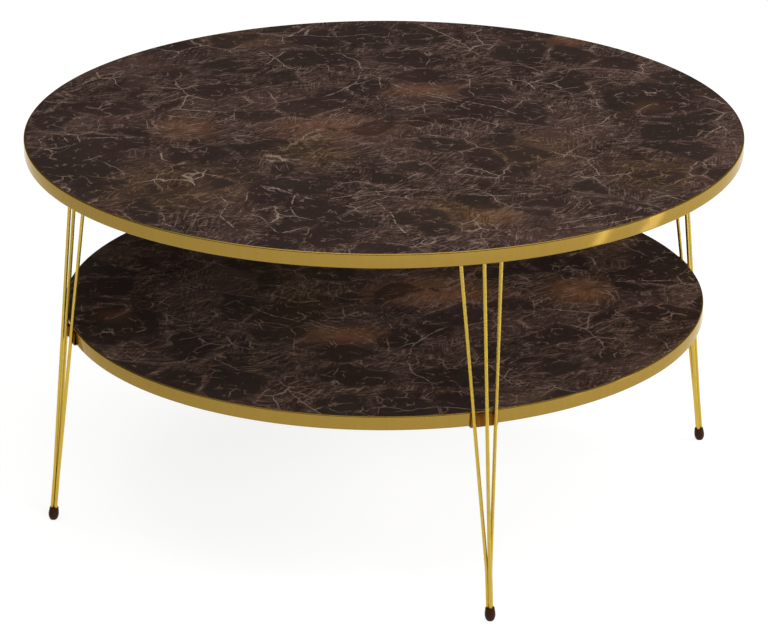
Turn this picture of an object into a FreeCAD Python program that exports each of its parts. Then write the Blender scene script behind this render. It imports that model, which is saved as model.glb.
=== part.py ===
"""Round coffee table with a lower shelf, carried on four legs of three welded rods each.

Units are millimetres. The origin is on the floor under the centre of the top, and +Z is up.
One leg is made in its own frame, X outwards from the table's axis and Y along the rim, and then
turned to its four places.
"""
import FreeCAD, Part
import math
import os

from FreeCAD import Vector

# Boards
TOP_DIAMETER = 900.0
OVERALL_HEIGHT = 480.0
TOP_THICKNESS = 18.0
SHELF_THICKNESS = 18.0
SHELF_HEIGHT = 259.0           # floor to the shelf's upper face
FACE_LAMINATE = 0.8            # printed sheet on the upper face of each board
BACKING_LAMINATE = 0.6         # plain sheet on the lower face of each board
BAND_THICKNESS = 2.0
BAND_ROUND = 1.0               # rounding of the band's two outer edges
BAND_GLUE = 0.2                # glue line between a board's edge and its band
BAND_SEAM = 0.2                # gap where the two ends of a band meet
TOP_SEAM_ANGLE = -18.0         # where those ends meet, in degrees about the table's axis
SHELF_SEAM_ANGLE = 196.0

# Legs
LEG_NAMES = ("front_right", "back_right", "back_left", "front_left")
FIRST_LEG_ANGLE = -45.0        # of the first leg, in degrees about the table's axis; the rest share the circle
ROD_DIAMETER = 4.5
ROD_GAP = 0.05                 # between neighbouring rods where they run side by side
FOOT_SETBACK = 12.0            # from the rim of the top in to the foot, on the floor
LEG_TOP_SETBACK = 60.3         # from the rim of the top in to the leg's axis, at the plate
ROD_SPREAD = 26.0              # from the leg's axis to each outer rod, at the plate
CENTRE_ROD_STANDOFF = 11.0     # from the leg's axis out to the centre rod, at the plate
KNOT_LENGTH = 62.0             # length over which the three rods run side by side, from the floor
BEND_RADIUS = 120.0            # of each rod where it leaves the others

# Plate at the top of each leg
PLATE_THICKNESS = 2.5
PLATE_MARGIN = 9.0             # from a rod's centre to the plate's edge
PLATE_DEPTH = 52.0             # from the outer rods in to the plate's inner edge
PLATE_CORNER = 7.0             # radius of the plate's corners
PLATE_SCREW_SETBACK = 14.0     # from the outer rods in to the first pair of screws
PLATE_SCREW_EDGE = 10.0        # from the plate's inner and side edges to its screws

# Bracket that holds the shelf to each leg
BRACKET_THICKNESS = 1.5
BRACKET_TONGUE = 46.0          # reach under the shelf
BRACKET_RIM_DROP = 2.0         # how far the upright stops below the shelf's upper face
BRACKET_CORNER = 5.0           # radius of the tongue's corners
BRACKET_OVERHANG = 3.5         # how far the bracket reaches past the centres of the outer rods
SHELF_CLEARANCE = 0.2          # between the shelf's band and the brackets
BRACKET_SCREW_SETBACK = 15.0   # from the shelf's rim in to the first screw
BRACKET_SCREW_EDGE = 12.0      # from the tongue's end to the second screw

# Welds
WELD_GAP = 0.05                # between a bracket and the rods it is welded to
WELD_SIZE = 1.6                # reach of a weld from the rod
WELD_TOE = 0.2                 # thickness of a weld where it runs out
WELD_ROOT = 0.75               # how far a bracket's weld stops short of the line where rod and sheet meet
WELD_END = 2.0                 # how far a bracket's welds stop short of its upper and lower edges

# Screws
SCREW_DIAMETER = 4.0
SCREW_HEAD_DIAMETER = 7.6
SCREW_HEAD_HEIGHT = 2.4
SCREW_HEAD_ROUND = 1.5
SCREW_TIP_LENGTH = 3.0
SCREW_TIP_DIAMETER = 0.5
SCREW_COVER = 5.0              # board left above a screw's tip
PLATE_HOLE_CLEARANCE = 0.25    # between a screw and its hole in the steel
PILOT_CLEARANCE = 0.02         # between a screw and its hole in the board
PILOT_EXTRA = 1.0              # depth of that hole past the screw's tip
CROSS_WIDTH = 1.0              # cross recess in the head
CROSS_LENGTH = 4.4
CROSS_DEPTH = 1.4

# Foot caps, measured along the leg from the floor
CAP_HEIGHT = 16.5
CAP_WALL = 0.6                 # at the cap's mouth
CAP_SHOULDER = 0.65            # how far the cap stands out past its mouth, on the radius, at the shoulder
CAP_SHOULDER_HEIGHT = 12.0
CAP_BULGE = 1.0                # the same at the cap's belly
CAP_BELLY_HEIGHT = 7.0
CAP_HEEL_INSET = 1.1           # how far the cap draws in from its belly, at the heel
CAP_HEEL_HEIGHT = 2.3
CAP_TREAD_RADIUS = 2.9         # of the moulded end
CAP_TRIM = 1.0                 # depth of that end cut away level with the floor
CAP_SOLE = 5.0                 # from the floor to the ends of the rods
CAP_FIT = 0.05                 # between the cap and the rods

# Sizes that follow from those above
UP = Vector(0, 0, 1)
TOP_RADIUS = TOP_DIAMETER / 2
TOP_UNDERSIDE = OVERALL_HEIGHT - TOP_THICKNESS
PLATE_UNDERSIDE = TOP_UNDERSIDE - PLATE_THICKNESS
SHELF_UNDERSIDE = SHELF_HEIGHT - SHELF_THICKNESS
TONGUE_UNDERSIDE = SHELF_UNDERSIDE - BRACKET_THICKNESS
BRACKET_RIM = SHELF_HEIGHT - BRACKET_RIM_DROP
LEG_ANGLES = {name: FIRST_LEG_ANGLE + 360 * i / len(LEG_NAMES) for i, name in enumerate(LEG_NAMES)}
ROD_RADIUS = ROD_DIAMETER / 2
SCREW_RADIUS = SCREW_DIAMETER / 2
PILOT_RADIUS = SCREW_RADIUS + PILOT_CLEARANCE
STEEL_HOLE_RADIUS = SCREW_RADIUS + PLATE_HOLE_CLEARANCE

# The leg's axis leans outwards from the plate to the floor.
FOOT = Vector(TOP_RADIUS - FOOT_SETBACK, 0, 0)
LEG_TOP = Vector(TOP_RADIUS - LEG_TOP_SETBACK, 0, PLATE_UNDERSIDE)
LEG_LENGTH = (LEG_TOP - FOOT).Length
LEG_AXIS = (LEG_TOP - FOOT).normalize()
LEG_OUTWARD = Vector(LEG_AXIS.z, 0, -LEG_AXIS.x)

# The three rods lie as a triangle about the leg's axis: outward and sideways offsets.
ROD_PITCH = ROD_DIAMETER + ROD_GAP
OUTER_ROD_OFFSET = -ROD_PITCH / (2 * math.sqrt(3))
CENTRE_ROD_OFFSET = ROD_PITCH / math.sqrt(3)
BUNDLE_RADIUS = CENTRE_ROD_OFFSET + ROD_RADIUS

# Each rod's offsets in the knot and at the plate, left and right as seen from outside the table.
RODS = {
    "left": ((OUTER_ROD_OFFSET, -ROD_PITCH / 2), (OUTER_ROD_OFFSET, -ROD_SPREAD)),
    "centre": ((CENTRE_ROD_OFFSET, 0.0), (CENTRE_ROD_STANDOFF, 0.0)),
    "right": ((OUTER_ROD_OFFSET, ROD_PITCH / 2), (OUTER_ROD_OFFSET, ROD_SPREAD)),
}


def on_leg(along, outward, sideways):
    """A point given along the leg's axis from the foot, outwards from that axis, and along the rim."""
    return FOOT + LEG_AXIS * along + LEG_OUTWARD * outward + Vector(0, sideways, 0)


def along_at(height):
    """How far along the leg's axis a height lies."""
    return height / LEG_AXIS.z


def rod_half_spread(height):
    """Distance from the leg's axis to each outer rod, along the rim, at a height above the knot."""
    share = (along_at(height) - KNOT_LENGTH) / (LEG_LENGTH - KNOT_LENGTH)
    return ROD_PITCH / 2 + (ROD_SPREAD - ROD_PITCH / 2) * share


def upright_face(height):
    """Distance from the table's axis to the inner face of a bracket's upright, at a height."""
    setback = ROD_RADIUS + WELD_GAP + BRACKET_THICKNESS - OUTER_ROD_OFFSET
    return (FOOT + LEG_AXIS * along_at(height)).x - setback / LEG_AXIS.z


# The shelf fits between the brackets' uprights, which lean with the outer rods.
SHELF_RADIUS = upright_face(BRACKET_RIM) - SHELF_CLEARANCE
TONGUE_END = SHELF_RADIUS - BRACKET_TONGUE
BRACKET_HALF_WIDTH = rod_half_spread(SHELF_HEIGHT - SHELF_THICKNESS / 2) + BRACKET_OVERHANG

# The plate follows the rods that it carries.
OUTER_ROD_LINE = on_leg(LEG_LENGTH, OUTER_ROD_OFFSET, 0).x
PLATE_SIDE = ROD_SPREAD + PLATE_MARGIN
PLATE_INNER = OUTER_ROD_LINE - PLATE_DEPTH
PLATE_NOSE = on_leg(LEG_LENGTH, CENTRE_ROD_STANDOFF, 0).x + PLATE_MARGIN


def disc(radius, low, high):
    """A flat round solid about the table's axis."""
    return Part.makeCylinder(radius, high - low, Vector(0, 0, low))


def drilled(shape, places, radius, low, high):
    """The shape with a round hole at each place, from one height to another."""
    holes = [Part.makeCylinder(radius, high - low, Vector(p.x, p.y, low)) for p in places]
    return shape.cut(Part.makeCompound(holes))


def turned(shape, angle):
    """A copy of the shape, turned about the table's axis."""
    copy = shape.copy()
    copy.rotate(Vector(0, 0, 0), UP, angle)
    return copy


def on_every_leg(places):
    """Places on one leg, repeated on all legs."""
    turns = [FreeCAD.Rotation(UP, angle) for angle in LEG_ANGLES.values()]
    return [turn.multVec(p) for turn in turns for p in places]


def circles_at(shape, height):
    """The shape's circular edges at a height."""
    rings = [e for e in shape.Edges if isinstance(e.Curve, Part.Circle)]
    return [e for e in rings if abs(e.Curve.Center.z - height) < Part.Precision.confusion()]


def edge_band(radius, low, high, seam_angle):
    """The strip glued round a board's edge, its outer edges rounded, with a fine seam where its ends meet."""
    strip = disc(radius, low, high)
    strip = strip.makeFillet(min(BAND_ROUND, BAND_THICKNESS), circles_at(strip, low) + circles_at(strip, high))
    strip = strip.cut(disc(radius - BAND_THICKNESS, low, high))
    slit = Part.makeBox(2 * BAND_THICKNESS, BAND_SEAM, high - low)
    slit.translate(Vector(radius - 1.5 * BAND_THICKNESS, -BAND_SEAM / 2, low))
    return strip.cut(turned(slit, seam_angle))


def board(radius, low, high, seam_angle, screw_places):
    """A board's layers: printed face, core, plain backing and edge band, drilled from below for its screws."""
    core_low = low + BACKING_LAMINATE
    core_high = high - FACE_LAMINATE
    inside = radius - BAND_THICKNESS - BAND_GLUE
    hole_end = high - SCREW_COVER + PILOT_EXTRA
    backing = disc(inside, low, core_low)
    core = disc(inside, core_low, core_high)
    return {
        "face_laminate": disc(inside, core_high, high),
        "core": drilled(core, screw_places, PILOT_RADIUS, core_low, hole_end),
        "backing_laminate": drilled(backing, screw_places, PILOT_RADIUS, low, core_low),
        "edge_band": edge_band(radius, low, high, seam_angle),
    }


def below_plate(shape):
    """The part of a shape that lies under the plate."""
    above = Part.makeBox(TOP_DIAMETER, TOP_DIAMETER, OVERALL_HEIGHT)
    above.translate(Vector(0, -TOP_RADIUS, PLATE_UNDERSIDE))
    return shape.cut(above)


def rod(knot, top):
    """One leg rod: straight in the knot, a gentle bend, then straight to the plate and cut level under it."""
    start = on_leg(CAP_SOLE, *knot)
    corner = on_leg(KNOT_LENGTH, *knot)
    end = on_leg(LEG_LENGTH, *top)
    lower = (corner - start).normalize()
    upper = (end - corner).normalize()
    half_turn = lower.getAngle(upper) / 2
    bend_start = corner - lower * BEND_RADIUS * math.tan(half_turn)
    bend_end = corner + upper * BEND_RADIUS * math.tan(half_turn)
    bend_inward = (upper - lower).normalize()
    bend_middle = corner + bend_inward * BEND_RADIUS * (1 / math.cos(half_turn) - 1)
    past_plate = end + upper * ROD_DIAMETER
    path = Part.Wire([
        Part.LineSegment(start, bend_start).toShape(),
        Part.Arc(bend_start, bend_middle, bend_end).toShape(),
        Part.LineSegment(bend_end, past_plate).toShape(),
    ])
    section = Part.Wire(Part.makeCircle(ROD_RADIUS, start, lower))
    return below_plate(path.makePipeShell([section], True, False))


def plate_weld(knot, top, welded_rod):
    """The collar of weld between a rod's end and the plate."""
    end = on_leg(LEG_LENGTH, *top)
    upper = (end - on_leg(KNOT_LENGTH, *knot)).normalize()
    past_plate = ROD_DIAMETER
    narrow = ROD_RADIUS + WELD_TOE
    wide = narrow + WELD_SIZE + past_plate
    collar = Part.makeCone(narrow, wide, WELD_SIZE + past_plate, end - upper * WELD_SIZE, upper)
    return below_plate(collar).cut(welded_rod)


def rounded_outline(corners, radius):
    """A closed flat wire through the corners, each one rounded."""
    back = [(corners[i - 1] - c).normalize() for i, c in enumerate(corners)]
    ahead = [b * -1 for b in back[1:] + back[:1]]
    arcs = []
    for corner, b, a in zip(corners, back, ahead):
        half = b.getAngle(a) / 2
        reach = radius / math.tan(half)
        middle = corner + (b + a).normalize() * radius * (1 / math.sin(half) - 1)
        arcs.append((corner + b * reach, middle, corner + a * reach))
    edges = []
    for arc, following in zip(arcs, arcs[1:] + arcs[:1]):
        edges.append(Part.Arc(*arc).toShape())
        edges.append(Part.LineSegment(arc[2], following[0]).toShape())
    return Part.Wire(edges)


def plate_screw_places():
    """Where the four screws of one leg's plate go."""
    sideways = PLATE_SIDE - PLATE_SCREW_EDGE
    rows = [OUTER_ROD_LINE - PLATE_SCREW_SETBACK, PLATE_INNER + PLATE_SCREW_EDGE]
    return [Vector(row, side * sideways, 0) for row in rows for side in (-1, 1)]


def mounting_plate():
    """The steel plate that the rods are welded to, screwed up into the top."""
    outline = [
        (PLATE_INNER, -PLATE_SIDE),
        (OUTER_ROD_LINE, -PLATE_SIDE),
        (PLATE_NOSE, -PLATE_SIDE / 2),
        (PLATE_NOSE, PLATE_SIDE / 2),
        (OUTER_ROD_LINE, PLATE_SIDE),
        (PLATE_INNER, PLATE_SIDE),
    ]
    corners = [Vector(x, y, PLATE_UNDERSIDE) for x, y in outline]
    plate = Part.Face(rounded_outline(corners, PLATE_CORNER)).extrude(UP * PLATE_THICKNESS)
    return drilled(plate, plate_screw_places(), STEEL_HOLE_RADIUS, PLATE_UNDERSIDE, TOP_UNDERSIDE)


def bracket_screw_places():
    """Where the two screws of one bracket go."""
    return [Vector(SHELF_RADIUS - BRACKET_SCREW_SETBACK, 0, 0), Vector(TONGUE_END + BRACKET_SCREW_EDGE, 0, 0)]


def shelf_bracket():
    """Folded sheet welded to the outer rods: an upright against the shelf's band and a tongue under it."""
    sheet = BRACKET_THICKNESS / LEG_AXIS.z
    half = BRACKET_HALF_WIDTH
    profile = [
        (TONGUE_END, TONGUE_UNDERSIDE),
        (upright_face(TONGUE_UNDERSIDE) + sheet, TONGUE_UNDERSIDE),
        (upright_face(BRACKET_RIM) + sheet, BRACKET_RIM),
        (upright_face(BRACKET_RIM), BRACKET_RIM),
        (upright_face(SHELF_UNDERSIDE), SHELF_UNDERSIDE),
        (TONGUE_END, SHELF_UNDERSIDE),
    ]
    points = [Vector(x, -half, z) for x, z in profile]
    folded = Part.Face(Part.makePolygon(points + points[:1])).extrude(Vector(0, 2 * half, 0))
    tip = [e for e in folded.Edges if abs(e.CenterOfMass.x - TONGUE_END) < Part.Precision.confusion()]
    corners = [e for e in tip if abs(abs(e.CenterOfMass.y) - half) < Part.Precision.confusion()]
    folded = folded.makeFillet(min(BRACKET_CORNER, half / 2), corners)
    return drilled(folded, bracket_screw_places(), STEEL_HOLE_RADIUS, TONGUE_UNDERSIDE, SHELF_UNDERSIDE)


def bracket_weld(side, welded_rod):
    """The weld in the corner between an outer rod and the face of the upright, on the leg's inner side."""
    low = SHELF_UNDERSIDE + WELD_END
    high = BRACKET_RIM - WELD_END
    face = OUTER_ROD_OFFSET - ROD_RADIUS - WELD_GAP
    section = [
        (face, -WELD_ROOT),
        (face, -ROD_RADIUS - WELD_SIZE),
        (face + WELD_TOE, -ROD_RADIUS - WELD_SIZE),
        (face + ROD_RADIUS, -ROD_RADIUS + WELD_TOE),
        (face + ROD_RADIUS, -WELD_ROOT),
    ]
    ends = []
    for height in (low, high):
        spread = rod_half_spread(height)
        points = [on_leg(along_at(height), outward, side * (spread + beside)) for outward, beside in section]
        ends.append(Part.makePolygon(points + points[:1]))
    return Part.makeLoft(ends, True, True).cut(welded_rod)


def foot_cap():
    """The moulded cap pushed on the ends of the rods: a barrel with a rounded end, level where it stands."""
    bore = BUNDLE_RADIUS + CAP_FIT
    mouth = Vector(bore + CAP_WALL, 0, CAP_HEIGHT)
    shoulder = Vector(mouth.x + CAP_SHOULDER, 0, CAP_SHOULDER_HEIGHT)
    belly = Vector(mouth.x + CAP_BULGE, 0, CAP_BELLY_HEIGHT)
    heel = Vector(belly.x - CAP_HEEL_INSET, 0, CAP_HEEL_HEIGHT)
    tread = Vector(CAP_TREAD_RADIUS, 0, -CAP_TRIM)
    inner = [
        tread,
        Vector(0, 0, -CAP_TRIM),
        Vector(0, 0, CAP_SOLE),
        Vector(bore, 0, CAP_SOLE),
        Vector(bore, 0, CAP_HEIGHT),
        mouth,
    ]
    edges = [Part.LineSegment(a, b).toShape() for a, b in zip(inner, inner[1:])]
    edges.append(Part.Arc(mouth, shoulder, belly).toShape())
    edges.append(Part.Arc(belly, heel, tread).toShape())
    cap = Part.Face(Part.Wire(edges)).revolve(Vector(0, 0, 0), UP, 360)
    cap.Placement = FreeCAD.Placement(FOOT, FreeCAD.Rotation(UP, LEG_AXIS))
    floor = Part.makeBox(2 * CAP_HEIGHT, 2 * CAP_HEIGHT, CAP_HEIGHT)
    floor.translate(FOOT - Vector(CAP_HEIGHT, CAP_HEIGHT, CAP_HEIGHT))
    return cap.cut(floor)


def screw(place, bearing, board_top):
    """A pan-head wood screw driven upwards, its head bearing on steel at a height and its tip in the board."""
    length = board_top - SCREW_COVER - bearing
    shank_length = length - SCREW_TIP_LENGTH
    head = Part.makeCylinder(SCREW_HEAD_DIAMETER / 2, SCREW_HEAD_HEIGHT, Vector(0, 0, -SCREW_HEAD_HEIGHT))
    head = head.makeFillet(min(SCREW_HEAD_ROUND, SCREW_HEAD_HEIGHT), circles_at(head, -SCREW_HEAD_HEIGHT))
    for width, breadth in ((CROSS_LENGTH, CROSS_WIDTH), (CROSS_WIDTH, CROSS_LENGTH)):
        corner = Vector(-width / 2, -breadth / 2, -SCREW_HEAD_HEIGHT)
        head = head.cut(Part.makeBox(width, breadth, CROSS_DEPTH, corner))
    shank = Part.makeCylinder(SCREW_RADIUS, shank_length)
    tip_start = Vector(0, 0, shank_length)
    tip = Part.makeCone(SCREW_RADIUS, SCREW_TIP_DIAMETER / 2, SCREW_TIP_LENGTH, tip_start)
    whole = head.fuse([shank, tip]).removeSplitter()
    whole.translate(Vector(place.x, place.y, bearing))
    return whole


def leg_pieces():
    """The pieces of one leg, in the leg's frame, by name."""
    pieces = {f"{name}_rod": rod(*ends) for name, ends in RODS.items()}
    pieces["mounting_plate"] = mounting_plate()
    pieces["shelf_bracket"] = shelf_bracket()
    pieces["foot_cap"] = foot_cap()
    return pieces


def leg_welds(pieces):
    """The welds of one leg, in the leg's frame: those under its plate and those on its bracket."""
    under_plate = [plate_weld(*ends, pieces[f"{name}_rod"]) for name, ends in RODS.items()]
    on_bracket = [bracket_weld(-1, pieces["left_rod"]), bracket_weld(1, pieces["right_rod"])]
    return under_plate, on_bracket


def main():
    """Builds every piece and writes one file for each node."""
    plate_screws = on_every_leg(plate_screw_places())
    bracket_screws = on_every_leg(bracket_screw_places())
    top = board(TOP_RADIUS, TOP_UNDERSIDE, OVERALL_HEIGHT, TOP_SEAM_ANGLE, plate_screws)
    shelf = board(SHELF_RADIUS, SHELF_UNDERSIDE, SHELF_HEIGHT, SHELF_SEAM_ANGLE, bracket_screws)
    nodes = {f"top_{layer}": shape for layer, shape in top.items()}
    nodes.update({f"shelf_{layer}": shape for layer, shape in shelf.items()})

    pieces = leg_pieces()
    under_plate, on_bracket = leg_welds(pieces)
    for leg, angle in LEG_ANGLES.items():
        nodes.update({f"{leg}_leg_{name}": turned(shape, angle) for name, shape in pieces.items()})

    turns = LEG_ANGLES.values()
    groups = {
        "plate_welds": [turned(weld, angle) for angle in turns for weld in under_plate],
        "bracket_welds": [turned(weld, angle) for angle in turns for weld in on_bracket],
        "plate_screws": [screw(p, PLATE_UNDERSIDE, OVERALL_HEIGHT) for p in plate_screws],
        "bracket_screws": [screw(p, TONGUE_UNDERSIDE, SHELF_HEIGHT) for p in bracket_screws],
    }
    nodes.update({name: Part.makeCompound(shapes) for name, shapes in groups.items()})

    os.makedirs("parts", exist_ok=True)
    for name, shape in nodes.items():
        shape.exportStep(f"parts/{name}.step")
        print(f"{name}: {len(shape.Solids)} solids, valid {shape.isValid()}, {shape.Volume:.1f} mm3")
    print(f"shelf diameter {2 * SHELF_RADIUS:.1f} mm, bracket width {2 * BRACKET_HALF_WIDTH:.1f} mm")


main()
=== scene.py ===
"""Looks of a round coffee table with a shelf: marble-print boards, gold edge bands and gold rod legs."""
import logging
import math
from collections.abc import Callable
from dataclasses import dataclass, field
from enum import Enum

import bmesh
import bpy
from mathutils import Matrix, Vector


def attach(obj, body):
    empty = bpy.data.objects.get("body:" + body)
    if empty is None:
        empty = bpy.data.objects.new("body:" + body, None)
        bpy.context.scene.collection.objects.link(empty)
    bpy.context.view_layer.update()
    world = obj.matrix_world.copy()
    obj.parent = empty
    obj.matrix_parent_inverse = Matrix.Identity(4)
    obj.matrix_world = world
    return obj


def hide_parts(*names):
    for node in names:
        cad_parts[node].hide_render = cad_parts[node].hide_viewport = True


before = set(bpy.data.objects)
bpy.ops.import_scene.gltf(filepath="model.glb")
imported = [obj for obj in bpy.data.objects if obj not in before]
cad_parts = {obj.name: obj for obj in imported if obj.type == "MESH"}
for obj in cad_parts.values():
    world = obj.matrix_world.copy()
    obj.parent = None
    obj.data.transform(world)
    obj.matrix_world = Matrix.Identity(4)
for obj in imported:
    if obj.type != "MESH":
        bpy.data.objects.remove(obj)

MM = 0.001
TOP_RADIUS = 450 * MM
SHELF_RADIUS = 405.64 * MM
SHELF_UNDERSIDE = 241 * MM
BOARD_THICKNESS = 18 * MM
NEAR = 0.01 * MM  # places this close together count as the same
MERGED = 0.001 * MM  # points this close together become one
SMOOTH_ANGLE = 40  # edges flatter than this are smooth, in degrees
LOG = logging.getLogger("coffee_table")
PHOTO_AZIMUTH = math.radians(28.11)  # the photo's view, turned from the table's front towards its right
FAR = 1000.0  # farther than any mark in the print
WHITE = (1, 1, 1, 1)
GOLD_PLATING = ("#CDAA2A", "#DBBA3E")
# Inputs by number: a Mix of colours has its share at 0 and the colours at 6 and 7. A MapRange has its value
# at 0, the range of that at 1 and 2, and the range that it becomes at 3 and 4.
RGBA = {"data_type": "RGBA"}  # a Mix of two colours
SOFT = {"interpolation_type": "SMOOTHSTEP"}  # a MapRange that eases in and out
Socket = bpy.types.NodeSocket


class LegPlace(Enum):
    """The four legs, by the angle at which each stands about the table's axis."""

    FRONT_RIGHT = -45
    BACK_RIGHT = 45
    BACK_LEFT = 135
    FRONT_LEFT = -135

    @property
    def node(self) -> str:
        """Start of the names of the leg's nodes."""
        return f"{self.name.lower()}_leg"


class RodPlace(Enum):
    """The three rods of a leg, by their side as seen from outside the table."""

    LEFT = -1
    CENTRE = 0
    RIGHT = 1


# Materials


def linear(code: str) -> tuple[float, float, float, float]:
    """Turns an sRGB hex colour to linear light.

    Args:
        code: Six hex digits after a hash sign.

    Returns:
        Red, green, blue and an alpha of 1.
    """
    shares = [int(code[i : i + 2], 16) / 255 for i in (1, 3, 5)]
    return (*[s / 12.92 if s <= 0.04045 else ((s + 0.055) / 1.055) ** 2.4 for s in shares], 1.0)


def per_metre(size_mm: float) -> float:
    """Turns the size of a pattern's repeat in millimetres to a texture scale for coordinates in metres."""
    return 1 / (size_mm * MM)


class Shading:
    """The nodes of a new material, or of a new world."""

    def __init__(self, owner: bpy.types.Material | bpy.types.World) -> None:
        """Starts with no nodes.

        Args:
            owner: The material or world.
        """
        owner.use_nodes = True
        self.owner = owner
        self.tree = owner.node_tree
        self.tree.nodes.clear()

    @classmethod
    def material(cls, name: str) -> "Shading":
        """Starts a new material of a name."""
        return cls(bpy.data.materials.new(name))

    def surface(self, inputs: dict[str, object]) -> bpy.types.Material:
        """Ends the material with its surface shader.

        Args:
            inputs: For each input of the shader, a socket to link or a value to set.

        Returns:
            The material.
        """
        self.add("OutputMaterial", {"Surface": self.add("BsdfPrincipled", inputs)}, None)
        return self.owner

    def add(
        self,
        kind: str,
        inputs: dict[str | int, object] | None = None,
        output: str | int | None = 0,
        **settings: object,
    ) -> Socket | None:
        """Adds a node with its settings and links.

        Args:
            kind: The node's type, without its first word.
            inputs: For each input's name or number, a socket to link or a value to set.
            output: Name or number of the output that is wanted.
            settings: The node's own properties.

        Returns:
            That output.
        """
        node = self.tree.nodes.new("ShaderNode" + kind)
        for name, value in settings.items():
            setattr(node, name, value)
        for place, value in (inputs or {}).items():
            if isinstance(value, Socket):
                self.tree.links.new(value, node.inputs[place])
            else:
                node.inputs[place].default_value = value
        return None if output is None else node.outputs[output]


@dataclass(frozen=True)
class Fade:
    """How a mask grows with a measure: nothing at the start, and the most at the end."""

    start: float
    end: float
    most: float = 1.0

    def of(self, measure: Socket) -> dict[int, object]:
        """Inputs of the MapRange that fades by a measure."""
        return {0: measure, 1: self.start, 2: self.end, 4: self.most}


@dataclass(frozen=True)
class Push:
    """Noise that pushes a print about: its size and its reach, in millimetres."""

    size: float
    reach: float


@dataclass(frozen=True)
class StreakLayer:
    """Streaks of one size: their patches and length in millimetres, and a shift that sets them apart."""

    patch: float
    length: float
    shift: float


@dataclass(frozen=True)
class VeinNet:
    """Veins of one size: their cells and width in millimetres, how well they cover, and where they show."""

    size: float
    width: float
    cover: float
    start: float
    shift: float
    pale: bool = False


@dataclass(frozen=True)
class Spot:
    """A mark in the print: its place on the sheet and its half width and depth, in millimetres."""

    across: float
    away: float
    width: float
    depth: float


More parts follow.
